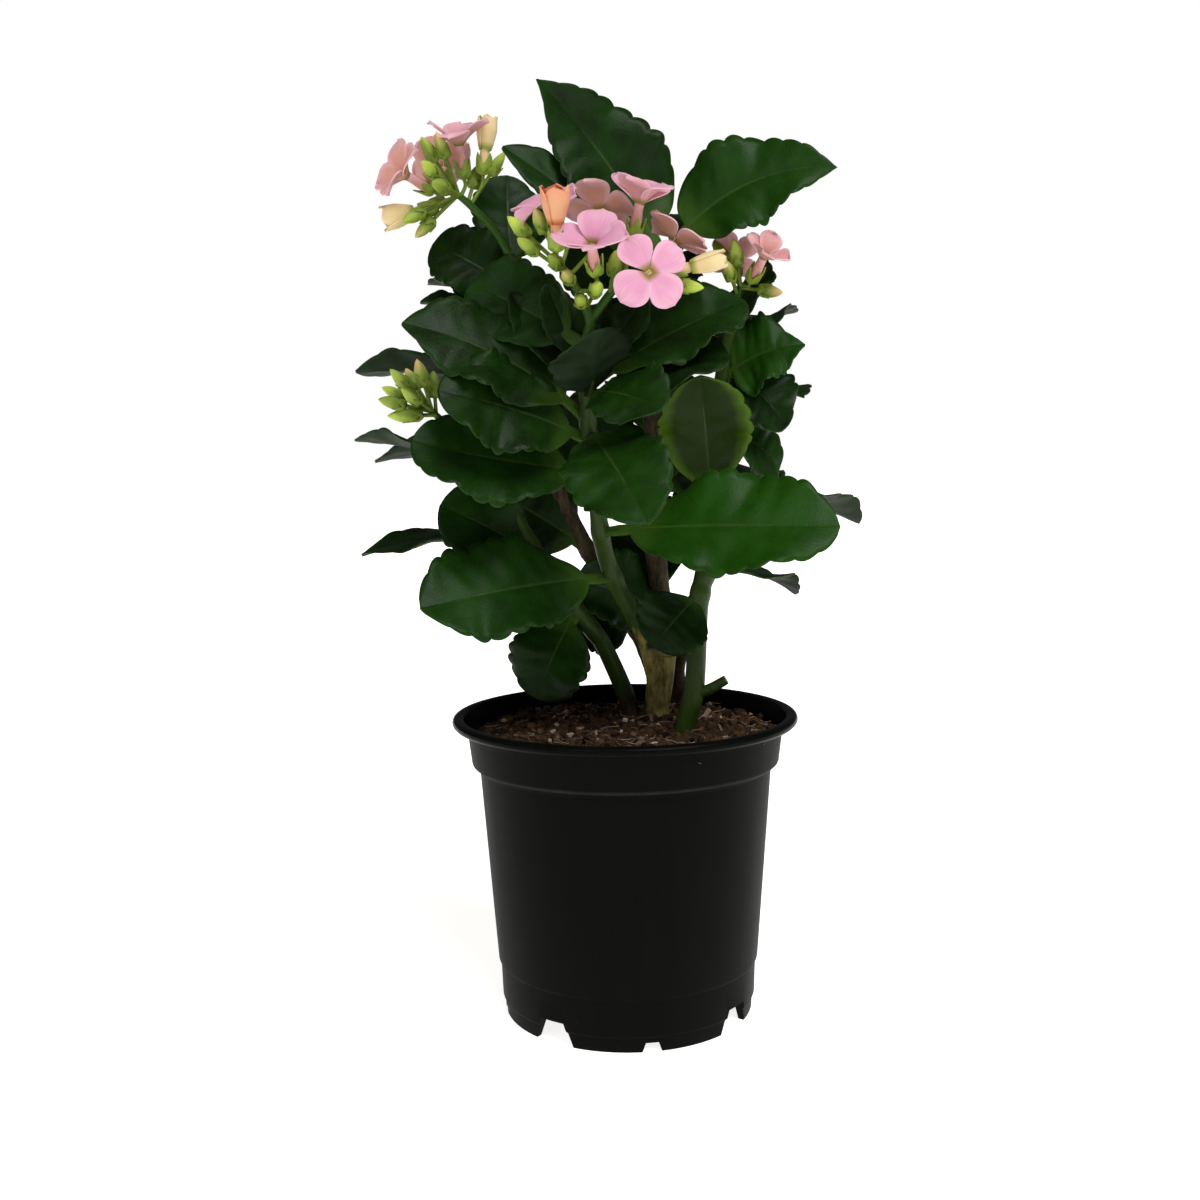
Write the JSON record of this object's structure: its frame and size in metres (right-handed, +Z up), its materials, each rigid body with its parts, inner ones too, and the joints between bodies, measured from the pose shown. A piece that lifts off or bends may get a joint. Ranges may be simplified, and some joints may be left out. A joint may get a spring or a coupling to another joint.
{
  "type": "potted flaming katy",
  "caption": "Flowering succulent with scalloped dark green leaves and heads of pink flowers and buds, growing in a round black nursery pot filled with peat.",
  "frame": {"origin": "centre of the pot's foot, on the surface that the pot stands on", "axes": "+Z up along the pot's axis, -Y towards the picture's viewer, +X to the viewer's right"},
  "size_m": [0.169, 0.13, 0.292],
  "materials": {
    "black_plastic": "injection-moulded black plastic, matte wall, semi-gloss rim",
    "peat": "dark brown peat with tan and pinkish fibres and crumbs, fully rough",
    "foliage": "waxy, semi-gloss dark green succulent leaf on green to brown stems",
    "bud_green": "smooth yellow-green buds, calyces and flower stalks",
    "pink_petal": "soft pink petals, dusty salmon behind",
    "cream_petal": "cream half-open flowers with a peach tint",
    "orange_petal": "salmon orange half-open flower, red inside"
  },
  "bodies": {
    "root": {"pot": "black_plastic", "soil": "peat", "stem_a_front": "foliage", "stem_b_middle": "foliage", "stem_c_left": "foliage", "stem_d_right": "foliage", "stem_e_left": "foliage", "head_centre": "bud_green", "head_upper_left": "bud_green", "head_left": "bud_green", "head_right": "bud_green", "corolla_front": "pink_petal", "corolla_middle": "pink_petal", "corolla_left": "pink_petal", "corolla_rear": "pink_petal", "corolla_top": "pink_petal", "corolla_right": "pink_petal", "corolla_upper_left": "pink_petal", "corolla_upper_front": "pink_petal", "corolla_upper_back": "pink_petal", "corolla_far_right": "pink_petal", "corolla_far_back": "pink_petal", "corolla_cream": "cream_petal", "corolla_upper_cream": "cream_petal", "corolla_lower_cream": "cream_petal", "corolla_orange": "orange_petal"}
  },
  "joints": []
}
